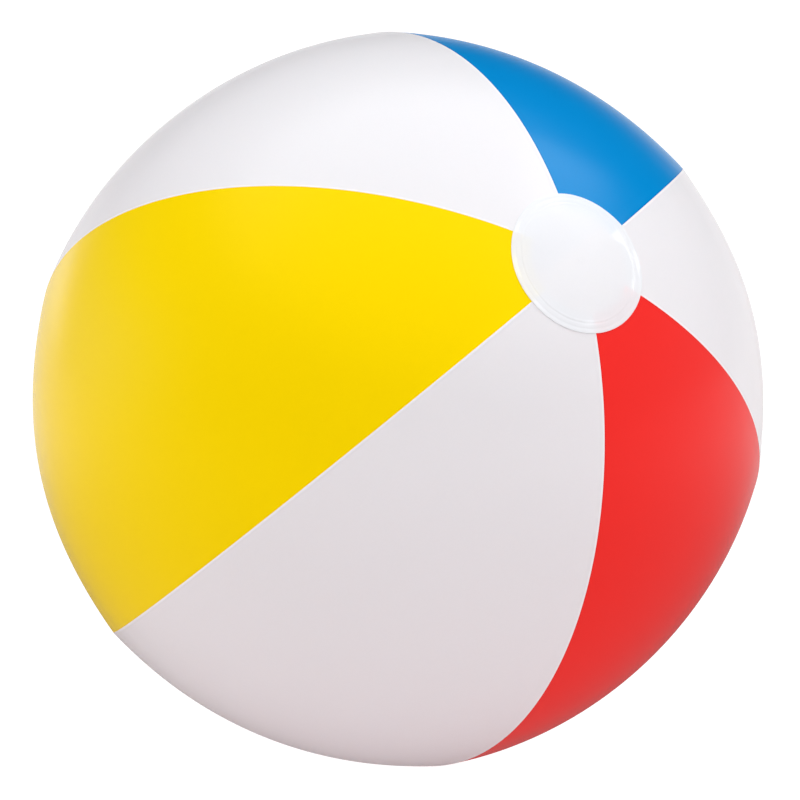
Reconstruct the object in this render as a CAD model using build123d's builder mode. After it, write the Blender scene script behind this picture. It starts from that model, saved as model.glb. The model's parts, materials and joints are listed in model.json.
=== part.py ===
from build123d import *
from math import asin, cos, degrees, radians, sin
import os

# An inflatable beach ball: six vinyl panels welded into a ball, a plain disc over one
# pole, and a disc that carries the air valve over the other. Millimetres, +Z up, with
# the origin at the ball's centre. The ball lies as it does on level ground, its polar
# axis in the YZ plane, with the plain pole towards -Y and 30 degrees above the horizon.

# ---- the ball ----
seam_radius = 170.0  # centre to a seam, at the widest girth
crown_radius = 167.0  # centre to the middle line of a panel, flatter than the seams
film = 0.25  # vinyl film thickness
panel_count = 6
pole_tilt = 30.0  # plain pole above the horizon, degrees
ball_spin = -2.3  # first seam's turn about the polar axis, degrees

# ---- the panels' margins ----
tip_hole_radius = 24.0  # the panels' tips stop here, under the pole discs
lap_width = 3.0  # a white panel's margin, welded under its coloured neighbour
lap_root = 0.8  # how far that margin reaches back under its own panel
weld_gap = 0.02  # between two films that are welded face to face

# ---- the pole discs ----
disc_radius = 32.5
disc_inner = 167.5  # centre to the disc's inner face, just above the panels' seams
disc_outer = disc_inner + film
valve_hole_radius = 9.6

# ---- the valve, with heights measured from the ball's centre along its axis ----
flange_radius = 14.0
flange_hole_radius = 8.8
flange_thickness = 0.8
flange_gap = 0.04
stem_rim = disc_outer + 1.25
stem_length = 17.5
stem_radius = 4.5
nozzle_radius = 3.0
seat_mouth_radius = 3.5
seat_depth = 5.0
lip_radius = 4.9
lip_height = 1.2
collar_joint = disc_outer - 6.5  # where the collar meets the stem
collar_ring_radius = 5.1
collar_ring_margin = 0.3  # the stem's ring, above and below the collar
collar_thickness = 0.45
collar_gap = 0.05  # at both welded edges of the collar
cup_taper = 0.6
cup_corner = 1.0
cap_radius = 6.0
cap_thickness = 1.6
cap_gap = 0.05
cap_dimple = 0.4
edge_break = 0.4  # the moulding's small sloped edges
thin_edge_break = 0.2  # the same, round the cap's lower edge
stopper_length = 4.5
stopper_top_radius = 3.38
stopper_end_radius = 2.5
tab_reach = 9.5
tab_width = 5.0
tab_thickness = 0.9
strap_hinge = 10.0  # valve axis to the fold of the strap
strap_width = 4.0
strap_thickness = 0.7
strap_gap = 0.03  # at both welded ends of the strap
strap_root_end = 7.0  # valve axis to the end of the stem's strap root
strap_root_thickness = 0.8
flap_radius = 4.3
flap_thickness = 0.6
flap_gap = 0.05
flap_hinge = 5.05  # valve axis to the flap's rounded hinge edge
hinge_width = 4.4
hinge_root_sink = 0.2  # how far the hinge roots run into the tube's wall
flap_root_rise = 0.3  # the tube's foot to the underside of the flap's root
flap_root_height = 1.5

# ---- directions ----
pole = Vector(0, -cos(radians(pole_tilt)), sin(radians(pole_tilt)))
valve_axis = -pole
first_upright = Vector(0, sin(radians(pole_tilt)), cos(radians(pole_tilt)))
panel_angle = 360 / panel_count
half_panel = radians(panel_angle / 2)
tip_margin = 6.0  # the panels' sheets are built this much closer to the axis, then cut back
# A panel's girth is an arc round a line that stands this far behind the polar axis,
# so that it passes through both seams and the flatter middle line.
girth_offset = (seam_radius**2 - crown_radius**2) / (
    2 * (crown_radius - seam_radius * cos(half_panel))
)
half_sweep = 30.0  # turned either side of a panel's middle, a little past its seams


def outward(longitude):
    """The horizontal direction of a longitude, in the plane across the polar axis."""
    return first_upright.rotate(Axis((0, 0, 0), pole), longitude + ball_spin)


def meridian_plane(longitude, origin=(0, 0, 0)):
    """A plane along the polar axis: its X runs outward and its Y towards the plain pole."""
    x_dir = outward(longitude)
    return Plane(origin=origin, x_dir=x_dir, z_dir=x_dir.cross(pole))


def seam_plane(longitude, offset=0.0):
    """The plane of a seam, whose normal points to growing longitude."""
    normal = pole.cross(outward(longitude))
    return Plane(origin=normal * offset, x_dir=outward(longitude), z_dir=normal)


def panel_band(middle, outer, inner):
    """A panel's curved sheet between two radii, before it is trimmed at its seams."""
    axis_point = outward(middle) * -girth_offset
    lowest = 90 - degrees(asin((tip_hole_radius - tip_margin) / crown_radius))
    with BuildPart() as band:
        with BuildSketch(meridian_plane(middle - half_sweep, axis_point)):
            with BuildLine():
                outside = CenterArc((girth_offset, 0), outer, -lowest, 2 * lowest)
                inside = CenterArc((girth_offset, 0), inner, -lowest, 2 * lowest)
                Line(outside @ 0, inside @ 0)
                Line(outside @ 1, inside @ 1)
            make_face()
        revolve(axis=Axis(axis_point, pole), revolution_arc=2 * half_sweep)
    return band.part


def cut_pole_holes():
    """Cuts both tips of the panel being built back to the pole holes."""
    with BuildSketch(Plane(origin=(0, 0, 0), z_dir=pole)) as tip_hole:
        Circle(tip_hole_radius)
    extrude(tip_hole.sketch, amount=2 * seam_radius, both=True, mode=Mode.SUBTRACT)


def seam_lap(seam, neighbour, side):
    """The margin a white panel has under the panel next to it, along one seam."""
    outer = crown_radius - film - weld_gap
    near, far = sorted((-side * lap_root, side * lap_width))
    with BuildPart() as lap:
        add(panel_band(neighbour, outer, outer - film))
        split(bisect_by=seam_plane(seam, near), keep=Keep.TOP)
        split(bisect_by=seam_plane(seam, far), keep=Keep.BOTTOM)
    return lap.part


def make_panel(name, first_seam, is_white):
    """One of the six panels, from its first seam to the next one."""
    next_seam = first_seam + panel_angle
    middle = first_seam + panel_angle / 2
    with BuildPart() as panel:
        add(panel_band(middle, crown_radius, crown_radius - film))
        split(bisect_by=seam_plane(first_seam), keep=Keep.TOP)
        split(bisect_by=seam_plane(next_seam), keep=Keep.BOTTOM)
        if is_white:
            add(seam_lap(first_seam, middle - panel_angle, -1))
            add(seam_lap(next_seam, middle + panel_angle, 1))
        cut_pole_holes()
    panel.part.label = name
    export_step(panel.part, f"parts/{name}.step")


os.makedirs("parts", exist_ok=True)

panels = [
    ("white_top_panel", True),
    ("yellow_panel", False),
    ("white_bottom_panel", True),
    ("red_panel", False),
    ("white_right_panel", True),
    ("blue_panel", False),
]
for place, (panel_name, white) in enumerate(panels):
    make_panel(panel_name, place * panel_angle, white)

# The valve's section plane: X runs towards the strap, Y outward along the valve.
valve_section = Plane(
    origin=(0, 0, 0), x_dir=outward(0), z_dir=outward(0).cross(valve_axis)
)
valve_line = Axis((0, 0, 0), valve_axis)


def valve_level(height):
    """A plane across the valve at a height, with X towards the strap."""
    return Plane(origin=valve_axis * height, x_dir=outward(0), z_dir=valve_axis)


def make_domed_ring(name, plane, bottom, thickness, rim_radius, hole_radius):
    """A thin dished ring, or a disc when it has no hole, centred on the plane's Y axis."""
    rim_angle = degrees(asin(rim_radius / bottom))
    width = rim_angle - degrees(asin(hole_radius / bottom))
    with BuildPart() as ring:
        with BuildSketch(plane):
            with BuildLine():
                top_line = CenterArc((0, 0), bottom + thickness, 90 - rim_angle, width)
                bottom_line = CenterArc((0, 0), bottom, 90 - rim_angle, width)
                Line(top_line @ 0, bottom_line @ 0)
                Line(top_line @ 1, bottom_line @ 1)
            make_face()
        revolve(axis=Axis((0, 0, 0), plane.y_dir))
    ring.part.label = name
    export_step(ring.part, f"parts/{name}.step")


# ---- pole discs, and the valve's flange on the inner face of the second one ----
make_domed_ring("front_pole_disc", meridian_plane(0), disc_inner, film, disc_radius, 0)
make_domed_ring(
    "valve_pole_disc", valve_section, disc_inner, film, disc_radius, valve_hole_radius
)
flange_bottom = disc_inner - flange_gap - flange_thickness
make_domed_ring(
    "valve_flange",
    valve_section,
    flange_bottom,
    flange_thickness,
    flange_radius,
    flange_hole_radius,
)

# ---- valve collar: a thin cup that turns inside out when the stem is pulled ----
cup_mouth = flange_hole_radius - collar_gap
cup_wall = cup_mouth - cup_taper
cup_joint = collar_ring_radius + collar_gap
cup_floor = collar_joint - collar_thickness / 2
cup_top = flange_bottom + flange_thickness

with BuildPart() as valve_collar:
    with BuildSketch(valve_section):
        with BuildLine():
            outside = FilletPolyline(
                (cup_mouth, cup_top),
                (cup_wall, cup_floor),
                (cup_joint, cup_floor),
                radius=cup_corner + collar_thickness,
            )
            inside = FilletPolyline(
                (cup_mouth - collar_thickness, cup_top),
                (cup_wall - collar_thickness, cup_floor + collar_thickness),
                (cup_joint, cup_floor + collar_thickness),
                radius=cup_corner,
            )
            Line(outside @ 0, inside @ 0)
            Line(outside @ 1, inside @ 1)
        make_face()
    revolve(axis=valve_line)
valve_collar.part.label = "valve_collar"
export_step(valve_collar.part, "parts/valve_collar.step")

# ---- valve stem: the tube, its seat for the plug, and the roots of both hinges ----
stem_foot = stem_rim - stem_length
ring_half = collar_thickness / 2 + collar_ring_margin
root_start = stem_radius - hinge_root_sink
strap_root_level = stem_rim - strap_root_thickness
flap_root_level = stem_foot + flap_root_rise
flap_root_end = flap_hinge + 0.5

with BuildPart() as valve_stem:
    with BuildSketch(valve_section):
        with BuildLine():
            Polyline(
                (nozzle_radius, stem_foot),
                (nozzle_radius, stem_rim - seat_depth),
                (seat_mouth_radius, stem_rim),
                (lip_radius, stem_rim),
                (lip_radius, stem_rim - lip_height),
                (stem_radius, stem_rim - lip_height - edge_break),
                (stem_radius, collar_joint + ring_half + edge_break),
                (collar_ring_radius, collar_joint + ring_half),
                (collar_ring_radius, collar_joint - ring_half),
                (stem_radius, collar_joint - ring_half - edge_break),
                (stem_radius, stem_foot),
                close=True,
            )
        make_face()
    revolve(axis=valve_line)
    with BuildSketch(valve_level(strap_root_level)) as strap_root:
        with Locations((strap_root_end, 0)):
            Rectangle(strap_root_end - root_start, hinge_width, align=(Align.MAX, Align.CENTER))
    extrude(strap_root.sketch, amount=strap_root_thickness)
    with BuildSketch(valve_level(flap_root_level)) as flap_root:
        with Locations((-flap_root_end, 0)):
            Rectangle(flap_root_end - root_start, hinge_width, align=(Align.MIN, Align.CENTER))
    extrude(flap_root.sketch, amount=flap_root_height)
valve_stem.part.label = "valve_stem"
export_step(valve_stem.part, "parts/valve_stem.step")

# ---- valve plug: a cap, a tapered stopper and a finger tab ----
cap_bottom = stem_rim + cap_gap
cap_middle = cap_bottom + cap_thickness / 2
cap_top = cap_bottom + cap_thickness
stopper_end = cap_bottom - stopper_length
tab_root = -cap_radius + 1  # inside the cap

with BuildPart() as valve_plug:
    with BuildSketch(valve_section):
        with BuildLine():
            Polyline(
                (0, cap_top - cap_dimple),
                (cap_radius / 2 - cap_dimple, cap_top - cap_dimple),
                (cap_radius / 2, cap_top),
                (cap_radius - edge_break, cap_top),
                (cap_radius, cap_top - edge_break),
                (cap_radius, cap_bottom + thin_edge_break),
                (cap_radius - thin_edge_break, cap_bottom),
                (stopper_top_radius, cap_bottom),
                (stopper_end_radius, stopper_end + edge_break),
                (stopper_end_radius - edge_break, stopper_end),
                (0, stopper_end),
                close=True,
            )
        make_face()
    revolve(axis=valve_line)
    with BuildSketch(valve_level(cap_middle - tab_thickness / 2)) as finger_tab:
        with BuildLine():
            top_edge = Line((tab_root, tab_width / 2), (tab_width / 2 - tab_reach, tab_width / 2))
            tip = ThreePointArc(
                top_edge @ 1,
                (-tab_reach, 0),
                (tab_width / 2 - tab_reach, -tab_width / 2),
            )
            Polyline(tip @ 1, (tab_root, -tab_width / 2), top_edge @ 0)
        make_face()
    extrude(finger_tab.sketch, amount=tab_thickness)
valve_plug.part.label = "valve_plug"
export_step(valve_plug.part, "parts/valve_plug.step")

# ---- plug strap: a flat band folded over from the stem's rim to the cap's edge ----
lower_leg = strap_root_level + strap_root_thickness / 2
fold_middle = (lower_leg + cap_middle) / 2
fold_radius = (cap_middle - lower_leg) / 2
half_strap = strap_thickness / 2

with BuildPart() as plug_strap:
    with BuildSketch(valve_section):
        with BuildLine():
            bend_out = CenterArc(
                (strap_hinge, fold_middle), fold_radius + half_strap, -90, 180
            )
            bend_in = CenterArc(
                (strap_hinge, fold_middle), fold_radius - half_strap, -90, 180
            )
            Polyline(
                bend_out @ 0,
                (strap_root_end + strap_gap, lower_leg - half_strap),
                (strap_root_end + strap_gap, lower_leg + half_strap),
                bend_in @ 0,
            )
            Polyline(
                bend_out @ 1,
                (cap_radius + strap_gap, cap_middle + half_strap),
                (cap_radius + strap_gap, cap_middle - half_strap),
                bend_in @ 1,
            )
        make_face()
    extrude(amount=strap_width / 2, both=True)
plug_strap.part.label = "plug_strap"
export_step(plug_strap.part, "parts/plug_strap.step")

# ---- check flap: a disc under the stem's foot, hung from a rounded hinge edge ----
flap_level = stem_foot - flap_gap - flap_thickness

with BuildPart() as check_flap:
    with BuildSketch(valve_level(flap_level)) as flap_outline:
        Circle(flap_radius)
        with Locations((-(flap_hinge + flap_radius / 2) / 2, 0)):
            Rectangle(flap_hinge - flap_radius / 2, hinge_width)
    extrude(flap_outline.sketch, amount=flap_thickness)
    with BuildSketch(valve_section) as hinge_edge:
        with Locations((-flap_hinge, flap_level + flap_thickness / 2)):
            Circle(flap_thickness / 2)
    extrude(hinge_edge.sketch, amount=hinge_width / 2, both=True)
check_flap.part.label = "check_flap"
export_step(check_flap.part, "parts/check_flap.step")
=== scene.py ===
import json
import math

import bmesh
import bpy
import numpy as np
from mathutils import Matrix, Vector


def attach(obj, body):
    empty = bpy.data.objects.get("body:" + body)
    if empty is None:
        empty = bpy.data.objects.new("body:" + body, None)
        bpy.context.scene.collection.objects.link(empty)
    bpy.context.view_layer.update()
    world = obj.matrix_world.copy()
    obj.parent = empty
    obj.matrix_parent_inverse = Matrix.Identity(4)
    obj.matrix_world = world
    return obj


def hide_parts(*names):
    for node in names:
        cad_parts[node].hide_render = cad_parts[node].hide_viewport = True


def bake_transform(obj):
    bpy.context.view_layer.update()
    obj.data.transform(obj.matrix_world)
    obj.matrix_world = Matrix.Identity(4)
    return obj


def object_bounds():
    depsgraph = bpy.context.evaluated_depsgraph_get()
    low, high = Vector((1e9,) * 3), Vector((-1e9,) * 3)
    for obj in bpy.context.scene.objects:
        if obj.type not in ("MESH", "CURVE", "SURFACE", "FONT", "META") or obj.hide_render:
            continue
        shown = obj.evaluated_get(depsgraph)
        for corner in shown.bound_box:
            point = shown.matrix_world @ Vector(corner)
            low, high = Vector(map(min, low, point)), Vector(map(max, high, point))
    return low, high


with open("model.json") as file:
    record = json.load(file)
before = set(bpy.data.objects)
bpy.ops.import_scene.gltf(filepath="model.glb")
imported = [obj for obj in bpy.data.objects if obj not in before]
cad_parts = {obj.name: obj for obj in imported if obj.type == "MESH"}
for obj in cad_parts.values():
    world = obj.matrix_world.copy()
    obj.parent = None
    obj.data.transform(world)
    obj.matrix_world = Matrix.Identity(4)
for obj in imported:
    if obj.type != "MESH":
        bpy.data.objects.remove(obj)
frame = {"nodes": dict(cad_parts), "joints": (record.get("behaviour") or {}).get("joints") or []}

# An inflated vinyl beach ball. The CAD's films are replaced by finer skins of the same shape
# that carry the weld beads and soft puckers, and seams drawn with a painted highlight on the white
# film and painted shade on the coloured ones; the valve's two folding pieces are rebuilt.
# Everything is in metres, in the CAD's frame.

cad_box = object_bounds()
MM = 0.001

# ---------------------------------------------------------------- what the frame says
joints = {joint["name"]: joint for joint in frame["joints"]}
valve_axis = Vector(joints["stem_slide"]["axis"])
pole_axis = -valve_axis
seam_axis = Vector(joints["plug_swing"]["axis"]).cross(valve_axis)
east_axis = pole_axis.cross(seam_axis)
to_row = np.array([seam_axis, east_axis, pole_axis])  # ball coordinates @ to_row


def ball_points(node):
    """A CAD node's corners in ball coordinates: first seam, east of it, plain pole."""
    points = np.array([v.co for v in frame["nodes"][node].data.vertices], float)
    return points @ to_row.T


def reach(points):
    return np.linalg.norm(points, axis=-1)


def girth(points):
    """Distance from the polar axis."""
    return np.hypot(points[..., 0], points[..., 1])


yellow_cad = ball_points("yellow_panel")
front_disc_cad = ball_points("front_pole_disc")
valve_disc_cad = ball_points("valve_pole_disc")
PANEL_STEP = math.radians(60)
SEAM_RADIUS = reach(yellow_cad).max()
yellow_middle = np.array([math.cos(PANEL_STEP * 1.5), math.sin(PANEL_STEP * 1.5), 0])
CROWN_RADIUS = (yellow_cad @ yellow_middle).max()
TIP_RADIUS = girth(yellow_cad).min()
DISC_RADIUS = girth(front_disc_cad).max()
FILM = reach(front_disc_cad).max() - reach(front_disc_cad).min()
VALVE_HOLE = girth(valve_disc_cad).min()
DISC_LEVEL = reach(valve_disc_cad).min()
FLANGE_RADIUS = girth(ball_points("valve_flange")).max()
# A panel's girth is an arc round a line this far behind the polar axis.
half_step = PANEL_STEP / 2
GIRTH_OFFSET = (SEAM_RADIUS**2 - CROWN_RADIUS**2) / (
    2 * (CROWN_RADIUS - SEAM_RADIUS * math.cos(half_step))
)


# ---------------------------------------------------------------- the ball's surface
def surface_radius(colatitude, longitude):
    """How far the panels' outer face is from the centre, in any direction."""
    from_middle = np.mod(longitude, PANEL_STEP) - half_step
    sine, cosine = np.sin(colatitude), np.cos(colatitude)
    low = np.full(np.broadcast(colatitude, longitude).shape, CROWN_RADIUS * 0.95)
    high = np.full_like(low, SEAM_RADIUS * 1.05)
    for _ in range(26):
        radius = (low + high) / 2
        ring = radius * sine
        from_line = np.sqrt(
            ring**2 + 2 * ring * GIRTH_OFFSET * np.cos(from_middle) + GIRTH_OFFSET**2
        )
        inside = (from_line - GIRTH_OFFSET) ** 2 + (radius * cosine) ** 2 < CROWN_RADIUS**2
        low = np.where(inside, radius, low)
        high = np.where(inside, high, radius)
    return (low + high) / 2


def direction(colatitude, longitude):
    return np.stack(
        np.broadcast_arrays(
            np.sin(colatitude) * np.cos(longitude),
            np.sin(colatitude) * np.sin(longitude),
            np.cos(colatitude) * np.ones_like(longitude),
        ),
        axis=-1,
    )


# ---------------------------------------------------------------- mesh building
def shell(name, outer, inner, uv, around=False):
    """A closed sheet between two grids of points, in ball coordinates.

    Rows run along the first index and columns along the second. around joins the last
    column to the first. uv holds two numbers, in millimetres, for each grid point.
    """
    rows, columns = outer.shape[:2]
    outer_index = np.arange(rows * columns).reshape(rows, columns)
    inner_index = outer_index + rows * columns
    if around:
        outer_index = np.hstack([outer_index, outer_index[:, :1]])
        inner_index = np.hstack([inner_index, inner_index[:, :1]])
    grid_uv = uv if not around else np.concatenate([uv, uv[:, :1]], axis=1)
    faces, face_uv = [], []

    def strip(a, b, ua, ub):
        """Quads between two lines of corners."""
        for k in range(len(a) - 1):
            faces.append((a[k], b[k], b[k + 1], a[k + 1]))
            face_uv.extend((ua[k], ub[k], ub[k + 1], ua[k + 1]))

    for r in range(rows - 1):
        strip(outer_index[r], outer_index[r + 1], grid_uv[r], grid_uv[r + 1])
        strip(inner_index[r + 1], inner_index[r], grid_uv[r + 1], grid_uv[r])
    strip(inner_index[0], outer_index[0], grid_uv[0], grid_uv[0])
    strip(outer_index[-1], inner_index[-1], grid_uv[-1], grid_uv[-1])
    if not around:
        strip(outer_index[:, 0], inner_index[:, 0], grid_uv[:, 0], grid_uv[:, 0])
        strip(inner_index[:, -1], outer_index[:, -1], grid_uv[:, -1], grid_uv[:, -1])
    points = np.concatenate([outer.reshape(-1, 3), inner.reshape(-1, 3)]) @ to_row
    mesh = bpy.data.meshes.new(name)
    mesh.from_pydata(points.tolist(), [], [tuple(map(int, face)) for face in faces])
    layer = mesh.uv_layers.new(name="film_mm")
    layer.data.foreach_set("uv", np.array(face_uv, np.float32).ravel())
    mesh.shade_smooth()
    mesh.validate()
    piece = bpy.data.objects.new(name, mesh)
    bpy.context.scene.collection.objects.link(piece)
    sharpen_rims(mesh)
    return piece


def sharpen_rims(mesh, limit=math.radians(50)):
    """Marks edges that turn more than the limit as sharp."""
    work = bmesh.new()
    work.from_mesh(mesh)
    for edge in work.edges:
        if len(edge.link_faces) == 2 and edge.calc_face_angle(0) > limit:
            edge.smooth = False
    work.to_mesh(mesh)
    work.free()


# ---------------------------------------------------------------- panels
PANEL_ROWS = 132
PANEL_STATIONS = np.array([0, 0.3, 0.6, 1.0, 1.4, 1.9, 2.6, 3.6, 5.2]) * MM
PANEL_MIDDLE_STEPS = 20
BEAD_HEIGHT = 0.10 * MM  # the white film's weld bead beside a coloured panel
BEAD_PLACE = 0.9 * MM
BEAD_WIDTH = 0.55 * MM
COVER_FADE = 2.0 * MM  # the painted seam highlight and shade, and the bead, fade out this far under a disc
SEAM_LIGHT_AND_RELIEF_REACH = 5.0 * MM  # no painted seam highlight or shade, nor weld relief, is drawn farther from a seam than this
PUCKER_HEIGHT = 0.07 * MM
PUCKER_FADE = 9 * MM
PUCKER_LENGTH = 13 * MM


def pucker(along, from_seam, seed):
    """Small cross-ripples that the weld's shrinkage leaves beside a seam."""
    wave = along / PUCKER_LENGTH
    ripple = (
        np.sin(2 * np.pi * wave + 2.1 * np.sin(wave * 1.7 + seed))
        + 0.6 * np.sin(2 * np.pi * wave * 1.63 + seed * 2.3)
        + 0.4 * np.sin(2 * np.pi * wave * 0.41 + seed * 0.7)
    )
    near = np.exp(-from_seam / PUCKER_FADE) * np.clip(from_seam / (3 * MM), 0, 1)
    return PUCKER_HEIGHT * ripple * near


def panel_skin(name, node, first_longitude, is_white, fullness):
    level = np.linspace(0, 1, PANEL_ROWS + 1)
    tip = math.asin(TIP_RADIUS / CROWN_RADIUS)
    rough_colatitude = tip + (math.pi - 2 * tip) * level
    seam_reach = surface_radius(rough_colatitude, np.zeros(1))
    seam_girth = seam_reach * np.sin(rough_colatitude)
    near = half_step - PANEL_STATIONS[None, :] / seam_girth[:, None]
    inner_steps = np.linspace(1, 0, PANEL_MIDDLE_STEPS + 1)[1:]
    half = np.hstack([near, near[:, -1:] * inner_steps[None, :]])
    from_middle = np.hstack([-half, half[:, -2::-1]])
    longitude = first_longitude + half_step + from_middle
    start = np.full(longitude.shape, tip)
    for _ in range(4):
        start = np.arcsin(TIP_RADIUS / surface_radius(start, longitude))
    colatitude = start + (math.pi - 2 * start) * level[:, None]
    radius = surface_radius(colatitude, longitude)
    from_seam = (half_step - np.abs(from_middle)) * radius * np.sin(colatitude)
    along = radius * colatitude
    seed = first_longitude + np.sign(from_middle)
    lift = pucker(along, from_seam, seed)
    covered = np.clip((DISC_RADIUS - radius * np.sin(colatitude)) / COVER_FADE, 0, 1)
    if is_white:
        bead = BEAD_HEIGHT * np.exp(-(((from_seam - BEAD_PLACE) / BEAD_WIDTH) ** 2))
        lift = lift + bead * (1 - covered)
    middle_share = np.cos(from_middle / half_step * math.pi / 2) * np.sin(colatitude)
    radius = radius + fullness * middle_share**2
    outward = direction(colatitude, longitude)
    outer = outward * (radius + lift)[..., None]
    inner = outward * (radius - FILM)[..., None]
    marked = from_seam + SEAM_LIGHT_AND_RELIEF_REACH * covered  # no painted seam highlight or shade is drawn under a disc
    uv = np.stack([marked / MM, along / MM], axis=-1)
    piece = shell(name, outer, inner, uv)
    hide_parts(node)
    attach(piece, "ball")
    return piece


# ---------------------------------------------------------------- pole discs
DISC_SEGMENTS = 192
WELD_RIM = 1.3 * MM  # the pressed rim of a disc
WELD_RING = 5.0 * MM  # the second pressed ring, this far inside the rim
GROOVE_WIDTH = 0.35 * MM
DISC_CLEARANCE = 0.06 * MM  # between a disc's rim and the panels it is welded to


def swell(distance, width):
    return np.exp(-((distance / width) ** 2))


def disc_lift(ring):
    """A pole disc's pressed relief by distance from the axis: a rim, then a ring inside it."""
    rim = DISC_RADIUS - ring
    rim_bead = 0.06 * MM * swell(rim - 0.5 * WELD_RIM, 0.5 * WELD_RIM)
    rim_groove = 0.05 * MM * swell(rim - 1.5 * WELD_RIM, GROOVE_WIDTH)
    ring_bead = 0.06 * MM * swell(rim - WELD_RING, 1.2 * GROOVE_WIDTH)
    ring_groove = 0.07 * MM * swell(rim - WELD_RING + 2.2 * GROOVE_WIDTH, GROOVE_WIDTH)
    return rim_bead - rim_groove + ring_bead - ring_groove


def flange_lift(ring):
    """The relief of the weld that holds the valve's flange under its disc."""
    land = 0.07 * MM * swell(ring - FLANGE_RADIUS + 1.0 * MM, 1.3 * MM)
    groove = 0.06 * MM * swell(ring - FLANGE_RADIUS - 0.6 * MM, GROOVE_WIDTH)
    return land - groove


def disc_rings(first):
    """Distances from the axis of a disc's rings of points, closer at its weld lines."""
    fine = np.arange(DISC_RADIUS - WELD_RING - 1.5 * MM, DISC_RADIUS, 0.24 * MM)
    if first < 1 * MM:
        return np.concatenate([np.linspace(first, fine[0], 14)[:-1], fine, [DISC_RADIUS]])
    weld = np.arange(first, FLANGE_RADIUS + 2 * MM, 0.3 * MM)
    return np.concatenate([weld, np.linspace(weld[-1], fine[0], 9)[1:-1], fine, [DISC_RADIUS]])


def disc_skin(name, node, first_ring, level, valve_side):
    """A pole disc that hugs the panels at its rim and stands at a level round the axis."""
    ring = disc_rings(first_ring)
    angle = np.linspace(0, 2 * np.pi, DISC_SEGMENTS, endpoint=False)
    colatitude = np.arcsin(ring / CROWN_RADIUS)[:, None]
    panels = surface_radius(colatitude, angle[None, :]) + DISC_CLEARANCE
    at_rim = (ring / DISC_RADIUS)[:, None] ** 2
    base = level + (panels - level) * at_rim
    lift = disc_lift(ring)
    if valve_side:
        lift = lift + flange_lift(ring)
    outward = direction(colatitude, angle[None, :])
    outer = outward * (base + FILM + lift[:, None])[..., None]
    inner = outward * (base + np.minimum(lift, 0)[:, None] * 0.5)[..., None]
    if valve_side:
        outer, inner = outer * [1, 1, -1], inner * [1, 1, -1]
        outer, inner = outer[:, ::-1], inner[:, ::-1]
    uv = np.stack(
        np.broadcast_arrays(ring[:, None] / MM, angle[None, :] * DISC_RADIUS / MM), axis=-1
    )
    piece = shell(name, outer, inner, uv, around=True)
    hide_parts(node)
    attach(piece, "ball")
    return piece


# ---------------------------------------------------------------- the valve's soft pieces
def valve_coordinates(node):
    """A CAD node's corners as distance towards the strap, across it, and height."""
    points = ball_points(node)
    return np.stack([points[:, 0], points[:, 1], -points[:, 2]], axis=-1)


def closed_mesh(name, loops, close_ends):
    """A surface through a row of closed loops of points, in valve coordinates.

    close_ends caps the first and last loop; otherwise the last loop joins the first.
    """
    count, size = len(loops), len(loops[0])
    points = np.concatenate(loops) * [1, 1, -1] @ to_row
    faces = []
    for k in range(count - 1 if close_ends else count):
        first, second = k * size, (k + 1) % count * size
        for j in range(size):
            after = (j + 1) % size
            faces.append((first + j, second + j, second + after, first + after))
    if close_ends:
        faces.append(tuple(range(size)))
        faces.append(tuple(reversed(range((count - 1) * size, count * size))))
    mesh = bpy.data.meshes.new(name)
    mesh.from_pydata(points.tolist(), [], faces)
    work = bmesh.new()
    work.from_mesh(mesh)
    bmesh.ops.recalc_face_normals(work, faces=work.faces)
    work.to_mesh(mesh)
    work.free()
    mesh.shade_smooth()
    piece = bpy.data.objects.new(name, mesh)
    bpy.context.scene.collection.objects.link(piece)
    sharpen_rims(mesh)
    return piece


def collar_skin():
    """The thin cup round the stem, which turns inside out as the stem is pulled."""
    cad = valve_coordinates("valve_collar")
    ring = girth(cad)
    mouth, joint = ring.max(), ring.min()
    top, floor_level = cad[:, 2].max(), cad[:, 2].min()
    thickness = 0.45 * MM
    wall = mouth - 0.6 * MM
    bend = 1.0 * MM
    down = np.linspace(top, floor_level + bend + thickness, 14)
    across = mouth + (wall - mouth) * (top - down) / (top - floor_level)
    turn = np.linspace(0, math.pi / 2, 9)
    centre = (across[-1] - thickness - bend, floor_level + thickness + bend)
    path = []
    for radius, shift in ((bend + thickness, 0.0), (bend, thickness)):
        side = [(a - shift, d) for a, d in zip(across, down)]
        corner = [
            (centre[0] + radius * math.cos(t), centre[1] - radius * math.sin(t)) for t in turn[1:]
        ]
        bottom = [(r, corner[-1][1]) for r in np.linspace(corner[-1][0], joint, 6)[1:]]
        path.append(side + corner + bottom)
    profile = path[0] + path[1][::-1]
    angles = np.linspace(0, 2 * np.pi, 96, endpoint=False)
    loops = [
        np.array([(r * math.cos(a), r * math.sin(a), h) for r, h in profile]) for a in angles
    ]
    piece = closed_mesh("valve_collar_skin", loops, False)
    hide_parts("valve_collar")
    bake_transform(piece)
    return piece


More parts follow.
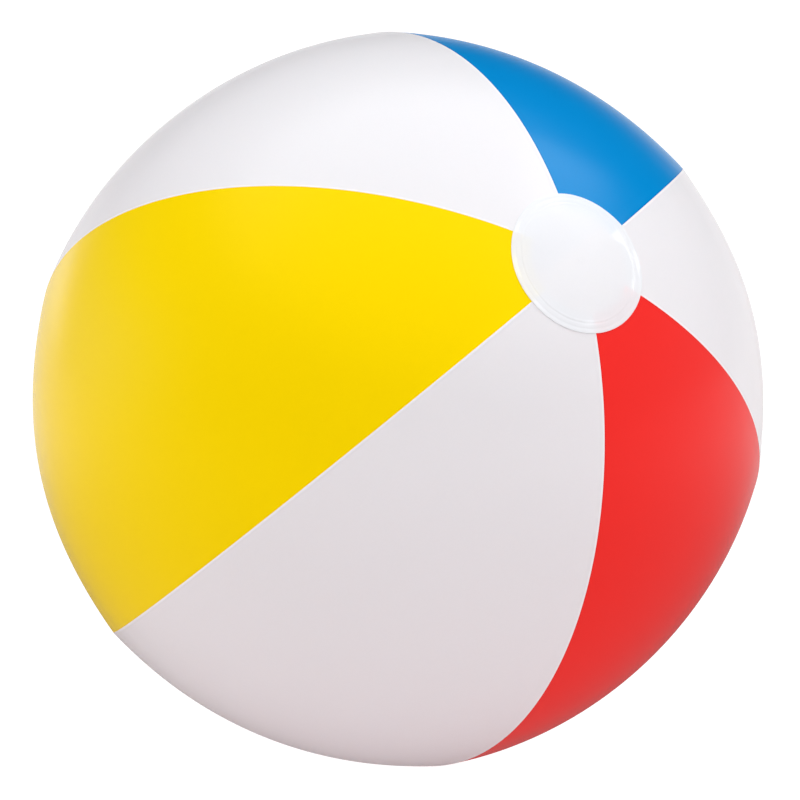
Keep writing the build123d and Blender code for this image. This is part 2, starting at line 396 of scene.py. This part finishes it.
def strap_skin():
    """The plug's flat strap with rounded edges, folded over at the plug's hinge."""
    cad = valve_coordinates("plug_strap")
    low, high = cad[:, 2].min(), cad[:, 2].max()
    half = 0.35 * MM
    fold = (high - low) / 2 - half
    middle = (high + low) / 2
    hinge = cad[:, 0].max() - fold - half
    root = cad[cad[:, 2] < middle, 0].min()
    tip = cad[:, 0].min()
    centre = [(x, middle - fold, 0.0, 1.0) for x in np.linspace(root, hinge, 8)]
    for t in np.linspace(-math.pi / 2, math.pi / 2, 29)[1:-1]:
        centre.append(
            (hinge + fold * math.cos(t), middle + fold * math.sin(t), math.cos(t), -math.sin(t))
        )
    centre += [(x, middle + fold, 0.0, -1.0) for x in np.linspace(hinge, tip, 9)]
    half_width = (cad[:, 1].max() - cad[:, 1].min()) / 2
    edge = 0.28 * MM
    outline = []
    for corner, (side, face) in enumerate(((1, 1), (-1, 1), (-1, -1), (1, -1))):
        for t in np.linspace(0, math.pi / 2, 5):
            turned = t + corner * math.pi / 2
            outline.append(
                (
                    side * (half_width - edge) + edge * math.cos(turned),
                    face * (half - edge) + edge * math.sin(turned),
                )
            )
    loops = [
        np.array([(x + nx * b, a, h + nh * b) for a, b in outline]) for x, h, nx, nh in centre
    ]
    piece = closed_mesh("plug_strap_skin", loops, True)
    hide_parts("plug_strap")
    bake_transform(piece)
    return piece


# ---------------------------------------------------------------- materials
def srgb(*values):
    """Linear colour from 0-255 values."""
    linear = []
    for value in values:
        part = value / 255
        linear.append(part / 12.92 if part <= 0.04045 else ((part + 0.055) / 1.055) ** 2.4)
    return (*linear, 1.0)


class Tree:
    """Short calls for the nodes of one material, or of the world."""

    def __init__(self, name):
        self.material = bpy.data.materials.new(name)
        self.material.use_nodes = True
        self.nodes = self.material.node_tree.nodes
        self.links = self.material.node_tree.links
        self.nodes.clear()

    @classmethod
    def over(cls, node_tree):
        tree = cls.__new__(cls)
        tree.nodes = node_tree.nodes
        tree.links = node_tree.links
        tree.nodes.clear()
        return tree

    def along(self, vector, axis):
        """The part of a vector that runs along an axis."""
        made = self.node("VectorMath", operation="DOT_PRODUCT")
        self.feed(made.inputs[0], vector)
        made.inputs[1].default_value = tuple(axis)
        return made.outputs["Value"]

    def node(self, kind, **settings):
        made = self.nodes.new("ShaderNode" + kind)
        for key, value in settings.items():
            setattr(made, key, value)
        return made

    def feed(self, socket, value):
        if isinstance(value, bpy.types.NodeSocket):
            self.links.new(value, socket)
        else:
            socket.default_value = value

    def math(self, operation, a, b=0.0, c=0.0):
        made = self.node("Math", operation=operation)
        for socket, value in zip(made.inputs, (a, b, c)):
            self.feed(socket, value)
        return made.outputs[0]

    def noise(self, scale, detail, roughness, vector):
        made = self.node("TexNoise")
        made.inputs["Scale"].default_value = scale
        made.inputs["Detail"].default_value = detail
        made.inputs["Roughness"].default_value = roughness
        self.feed(made.inputs["Vector"], vector)
        return made.outputs["Fac"]

    def ramp(self, value, low, high, to_low=0.0, to_high=1.0):
        made = self.node("MapRange", interpolation_type="SMOOTHSTEP")
        for socket, given in zip(made.inputs, (value, low, high, to_low, to_high)):
            self.feed(socket, given)
        return made.outputs[0]

    def grey(self, value):
        made = self.node("CombineColor")
        for socket in made.inputs[:3]:
            self.feed(socket, value)
        return made.outputs[0]

    def mix(self, factor, a, b, blend="MIX"):
        made = self.node("Mix", data_type="RGBA", blend_type=blend)
        self.feed(made.inputs["Factor"], factor)
        self.feed(made.inputs["A"], a)
        self.feed(made.inputs["B"], b)
        return made.outputs["Result"]


def vinyl(name, colour, glow_colour, translucence, painted_seam_light=None, painted_seam_span=(0, 1), painted_seam_strength=0.0,
          roughness=0.24, seethrough=0.0):
    """Soft PVC film: pigment with slight mottling, calender grain, a gloss and some light through it.

    The seam colour is painted across the narrow band that runs the given span of millimetres from the
    welded edge: a painted highlight on the white film, painted shade on the coloured films.
    """
    tree = Tree(name)
    place = tree.node("TexCoord").outputs["Object"]
    film_uv = tree.node("UVMap", uv_map="film_mm").outputs[0]
    split = tree.node("SeparateXYZ")
    tree.feed(split.inputs[0], film_uv)
    from_edge = split.outputs[0]

    cloud = tree.ramp(tree.noise(7, 2, 0.5, place), 0.25, 0.75)
    speck = tree.noise(900, 2, 0.6, place)
    shade = tree.math("MULTIPLY_ADD", cloud, 0.012, 0.985)
    shade = tree.math("MULTIPLY_ADD", tree.math("SUBTRACT", speck, 0.5), 0.03, shade)
    toned = tree.mix(1.0, colour, tree.grey(shade), "MULTIPLY")
    # Painted seam light: a lighter band on the white film stands for the highlight on its weld bead,
    # a darker band on the coloured films for the shade of the film step.
    if painted_seam_light is not None:
        low, high = painted_seam_span
        rise = tree.ramp(from_edge, low - 0.15, low + 0.15) if low > 0 else 1.0
        fall = tree.ramp(from_edge, high - 0.2, high + 0.25, 1.0, 0.0)
        band = tree.math("MULTIPLY", tree.math("MULTIPLY", rise, fall), painted_seam_strength)
        toned = tree.mix(band, toned, painted_seam_light)

    grain = tree.noise(1500, 3, 0.55, place)
    waviness = tree.noise(26, 1, 0.4, place)
    weld = tree.node("TexWave", wave_type="BANDS", bands_direction="Y", wave_profile="SIN")
    weld.inputs["Scale"].default_value = 0.30
    tree.feed(weld.inputs["Vector"], film_uv)
    weld_band = tree.ramp(from_edge, 2.2, 3.0, 1.0, 0.0)
    weld_relief = tree.math("MULTIPLY", weld.outputs["Fac"], weld_band)
    height = tree.math("MULTIPLY_ADD", grain, 0.008, tree.math("MULTIPLY", waviness, 0.05))
    height = tree.math("MULTIPLY_ADD", weld_relief, 0.008, height)
    bump = tree.node("Bump")
    bump.inputs["Strength"].default_value = 1.0
    bump.inputs["Distance"].default_value = 1.0 * MM
    tree.feed(bump.inputs["Height"], height)

    gloss = tree.node("BsdfPrincipled")
    tree.feed(gloss.inputs["Base Color"], toned)
    rough = tree.math("MULTIPLY_ADD", tree.noise(60, 3, 0.5, place), 0.06, roughness - 0.03)
    tree.feed(gloss.inputs["Roughness"], rough)
    gloss.inputs["IOR"].default_value = 1.5
    gloss.inputs["Specular IOR Level"].default_value = 0.35
    # The pigment tints what the film mirrors straight on; at a glancing angle it stays white.
    tree.feed(gloss.inputs["Specular Tint"], colour)
    tree.feed(gloss.inputs["Normal"], bump.outputs[0])
    through = tree.node("BsdfTranslucent")
    tree.feed(through.inputs["Color"], glow_colour)
    body = tree.node("MixShader")
    tree.feed(body.inputs[0], translucence)
    tree.links.new(gloss.outputs[0], body.inputs[1])
    tree.links.new(through.outputs[0], body.inputs[2])
    clear = tree.node("BsdfTransparent")
    surface = body
    if seethrough > 0:
        surface = tree.node("MixShader")
        surface.inputs[0].default_value = seethrough
        tree.links.new(body.outputs[0], surface.inputs[1])
        tree.links.new(clear.outputs[0], surface.inputs[2])
    # A ray that meets a face from inside the film passes, so that the film acts once.
    film_side = tree.node("MixShader")
    tree.links.new(tree.node("NewGeometry").outputs["Backfacing"], film_side.inputs[0])
    tree.links.new(surface.outputs[0], film_side.inputs[1])
    tree.links.new(clear.outputs[0], film_side.inputs[2])
    output = tree.node("OutputMaterial")
    tree.links.new(film_side.outputs[0], output.inputs[0])
    tree.material.diffuse_color = colour
    return tree.material


# Each film's last colour is painted seam light: a painted highlight along the white film's seams,
# painted shade along the coloured films' seams.
# The white film's light-through colour is tinted pink: painted warm light standing for the red
# panel's light inside the ball.
white = vinyl("white_vinyl", srgb(228, 228, 231), srgb(250, 234, 235), 0.20,
              srgb(252, 252, 252), (0.25, 0.95), 0.35)
yellow = vinyl("yellow_vinyl", srgb(242, 209, 3), srgb(250, 202, 5), 0.14,
               srgb(240, 190, 0), (0, 0.5), 0.5)
red = vinyl("red_vinyl", srgb(233, 45, 41), srgb(246, 36, 28), 0.14,
            srgb(200, 14, 16), (0, 0.5), 0.5)
blue = vinyl("blue_vinyl", srgb(0, 128, 194), srgb(10, 130, 205), 0.14,
             srgb(0, 84, 160), (0, 0.5), 0.5)
disc_white = vinyl("disc_vinyl", srgb(230, 231, 234), srgb(248, 246, 248), 0.16,
                   roughness=0.24, seethrough=0.07)
valve_clear = vinyl("valve_vinyl", srgb(226, 230, 233), srgb(240, 244, 246), 0.30,
                    roughness=0.3, seethrough=0.05)

films = {"white_vinyl": white, "yellow_vinyl": yellow, "red_vinyl": red, "blue_vinyl": blue}
# The last number is how much fuller than the nominal panel the film stands in its middle.
panels = [
    ("white_top_skin", "white_top_panel", "white_vinyl", -0.5 * MM),
    ("yellow_skin", "yellow_panel", "yellow_vinyl", 1.9 * MM),
    ("white_bottom_skin", "white_bottom_panel", "white_vinyl", 0.4 * MM),
    ("red_skin", "red_panel", "red_vinyl", -0.3 * MM),
    ("white_right_skin", "white_right_panel", "white_vinyl", 2.4 * MM),
    ("blue_skin", "blue_panel", "blue_vinyl", 0.3 * MM),
]
for place, (name, node, slot, fullness) in enumerate(panels):
    skin = panel_skin(name, node, place * PANEL_STEP, slot == "white_vinyl", fullness)
    skin.data.materials.append(films[slot])

front_disc = disc_skin(
    "front_pole_disc_skin", "front_pole_disc", 0.01 * MM, CROWN_RADIUS + 0.15 * MM, False
)
valve_disc = disc_skin("valve_pole_disc_skin", "valve_pole_disc", VALVE_HOLE, DISC_LEVEL, True)
for disc in (front_disc, valve_disc):
    disc.data.materials.append(disc_white)

for soft in (collar_skin(), strap_skin()):
    soft.data.materials.append(valve_clear)

for node in ("valve_flange", "valve_stem", "valve_plug", "check_flap"):
    part = frame["nodes"][node]
    part.data.materials.clear()
    part.data.materials.append(valve_clear)

# ---------------------------------------------------------------- floor, light, camera
CAMERA_AZIMUTH = math.radians(-33.0)
CAMERA_ELEVATION = math.radians(10.53)
CAMERA_DISTANCE = 11.6 * SEAM_RADIUS
BALL_SHARE = 0.4592  # the ball's radius as a share of the picture's width
SENSOR_WIDTH = 36.0  # millimetres, as is the lens

toward = Vector((
    math.sin(CAMERA_AZIMUTH) * math.cos(CAMERA_ELEVATION),
    -math.cos(CAMERA_AZIMUTH) * math.cos(CAMERA_ELEVATION),
    math.sin(CAMERA_ELEVATION),
))
right = Vector((math.cos(CAMERA_AZIMUTH), math.sin(CAMERA_AZIMUTH), 0))
up = toward.cross(right)

camera_data = bpy.data.cameras.new("camera")
camera_data.sensor_width = SENSOR_WIDTH
camera_data.lens = SENSOR_WIDTH * BALL_SHARE * CAMERA_DISTANCE / SEAM_RADIUS
camera_data.clip_start = 0.05
camera_data.clip_end = 50.0
camera = bpy.data.objects.new("camera", camera_data)
bpy.context.scene.collection.objects.link(camera)
aim = right * 0.95 * MM - up * 0.14 * MM
camera.location = aim + toward * CAMERA_DISTANCE
camera.rotation_mode = "QUATERNION"
camera.rotation_quaternion = toward.to_track_quat("Z", "Y")
bpy.context.scene.camera = camera


def softbox(name, place, size, power):
    """A rectangular light that faces the ball; place is in right, up, toward."""
    data = bpy.data.lights.new(name, "AREA")
    data.shape = "RECTANGLE"
    data.size, data.size_y = size
    data.energy = power
    lamp = bpy.data.objects.new(name, data)
    bpy.context.scene.collection.objects.link(lamp)
    lamp.location = right * place[0] + up * place[1] + toward * place[2]
    lamp.rotation_mode = "QUATERNION"
    lamp.rotation_quaternion = lamp.location.to_track_quat("Z", "Y")
    lamp.visible_camera = False
    return lamp


softbox("highlight", (1.04, 1.38, 0.02), (0.9, 0.6), 4.2)

CEILING_LOW, CEILING_HIGH = 0.04, 2.62  # how bright the room is outside and in the softbox
LEFT_WALL, RIGHT_WALL = 4.0, 1.8
SEEN_WHITE = 1.05  # what the camera sees behind the ball
world = bpy.data.worlds.new("studio")
bpy.context.scene.world = world
world.use_nodes = True
world_tree = Tree.over(world.node_tree)
looking = world_tree.node("TexCoord").outputs["Generated"]
upness = world_tree.along(looking, up)
frontness = world_tree.along(looking, toward)
rightness = world_tree.along(looking, right)
overhead = (right * 0.12 + up * 0.88 + toward * 0.42).normalized()
# A big overhead softbox a little in front of the ball, and a pale band of room round it.
ceiling = world_tree.ramp(world_tree.along(looking, overhead), 0.52, 0.76, CEILING_LOW, CEILING_HIGH)
band_level = world_tree.ramp(frontness, -0.4, 0.7, 0.84, 0.06)
# The pale walls at the sides end before they reach the front.
walls = world_tree.math(
    "ADD",
    world_tree.ramp(rightness, -0.3, -1.0, 0.0, LEFT_WALL),
    world_tree.ramp(rightness, 0.4, 1.0, 0.0, RIGHT_WALL),
)
walls = world_tree.math("MULTIPLY", walls, world_tree.ramp(frontness, -0.1, 0.6, 1.0, 0.2))
band_level = world_tree.math("ADD", band_level, walls)
# What the film mirrors of the room is dimmed, and brightened right behind the ball, so that
# the colours stay full and only the outline turns pale.
mirrored = world_tree.node("LightPath").outputs["Is Glossy Ray"]
behind = world_tree.ramp(frontness, -0.6, -0.97, 0.16, 1.45)
dimming = world_tree.math("SUBTRACT", 1.0, behind)
dimming = world_tree.math("MULTIPLY", mirrored, dimming)
band_level = world_tree.math("MULTIPLY", band_level, world_tree.math("SUBTRACT", 1.0, dimming))
band = world_tree.math(
    "MULTIPLY", world_tree.ramp(upness, 0.1, 0.5, 1.0, 0.0), band_level
)
# The softbox's far edge, which the film mirrors as the diagonal end of the highlight.
box_edge = (right * -0.2 + up * 0.48 + toward * 0.85).normalized()
edge_level = world_tree.ramp(world_tree.along(looking, box_edge), -0.05, 0.12, 0.25, 1.0)
edge_dimming = world_tree.math("MULTIPLY", mirrored, world_tree.math("SUBTRACT", 1.0, edge_level))
ceiling = world_tree.math("MULTIPLY", ceiling, world_tree.math("SUBTRACT", 1.0, edge_dimming))
radiance = world_tree.math("ADD", ceiling, band)
room = world_tree.node("Background")
room_tint = world_tree.mix(
    world_tree.ramp(upness, -0.2, 0.5), (0.8, 0.8, 0.8, 1), (0.80, 0.825, 0.835, 1)
)
world_tree.feed(room.inputs["Color"], room_tint)
world_tree.feed(room.inputs["Strength"], radiance)
seen_white = world_tree.node("Background")
seen_white.inputs["Color"].default_value = (1, 1, 1, 1)
seen_white.inputs["Strength"].default_value = SEEN_WHITE
choose = world_tree.node("MixShader")
camera_ray = world_tree.node("LightPath").outputs["Is Camera Ray"]
world_tree.feed(choose.inputs[0], camera_ray)
world_tree.links.new(room.outputs[0], choose.inputs[1])
world_tree.links.new(seen_white.outputs[0], choose.inputs[2])
world_tree.links.new(choose.outputs[0], world_tree.node("OutputWorld").inputs[0])

FLOOR_LEVEL = cad_box[0].z - 0.3 * MM
FLOOR_HALF = 6.0
WARM_GLOW = (1.0, 0.86, 0.87, 1)
WHITE_GLOW = (1, 1, 1, 1)
floor_mesh = bpy.data.meshes.new("floor")
floor_mesh.from_pydata(
    [
        (x * FLOOR_HALF, y * FLOOR_HALF, FLOOR_LEVEL)
        for x, y in ((-1, -1), (1, -1), (1, 1), (-1, 1))
    ],
    [],
    [(0, 1, 2, 3)],
)
floor = bpy.data.objects.new("floor", floor_mesh)
bpy.context.scene.collection.objects.link(floor)
floor_tree = Tree("pale_floor")
floor_paint = floor_tree.node("BsdfPrincipled")
floor_tone = floor_tree.noise(3, 2, 0.5, floor_tree.node("TexCoord").outputs["Object"])
floor_tree.feed(
    floor_paint.inputs["Base Color"],
    floor_tree.mix(floor_tone, srgb(238, 236, 236), srgb(243, 242, 242)),
)
floor_paint.inputs["Roughness"].default_value = 0.8
# The camera sees the floor almost as white as the room, with a faint shadow left in it. The
# floor lights the ball from below; the film mirrors it dimly near the ball and white far off.
floor_rays = floor_tree.node("LightPath")


def floor_glow(colour, strength):
    glow = floor_tree.node("Emission")
    glow.inputs["Color"].default_value = colour
    glow.inputs["Strength"].default_value = strength
    return glow.outputs[0]


def floor_mix(share, first, second):
    mixed = floor_tree.node("MixShader")
    floor_tree.feed(mixed.inputs[0], share)
    floor_tree.links.new(first, mixed.inputs[1])
    floor_tree.links.new(second, mixed.inputs[2])
    return mixed.outputs[0]


floor_place = floor_tree.node("VectorMath", operation="LENGTH")
floor_tree.feed(floor_place.inputs[0], floor_tree.node("TexCoord").outputs["Object"])
from_ball = floor_place.outputs["Value"]
warm_share = floor_tree.ramp(from_ball, 0.1, 0.5, 0.55, 0.35)
floor_look = floor_mix(
    warm_share, floor_paint.outputs[0], floor_glow(WARM_GLOW, 1.4)
)
floor_look = floor_mix(
    floor_tree.math("MULTIPLY", floor_rays.outputs["Is Camera Ray"], 0.8),
    floor_look,
    floor_glow(WHITE_GLOW, 1.12),
)
mirrored_floor = floor_tree.node("Emission")
floor_tree.feed(mirrored_floor.inputs["Strength"], floor_tree.ramp(from_ball, 0.25, 0.9, 0.22, 1.0))
floor_look = floor_mix(floor_rays.outputs["Is Glossy Ray"], floor_look, mirrored_floor.outputs[0])
floor_tree.links.new(floor_look, floor_tree.node("OutputMaterial").inputs[0])
floor_mesh.materials.append(floor_tree.material)

bpy.context.scene.view_settings.view_transform = "Standard"
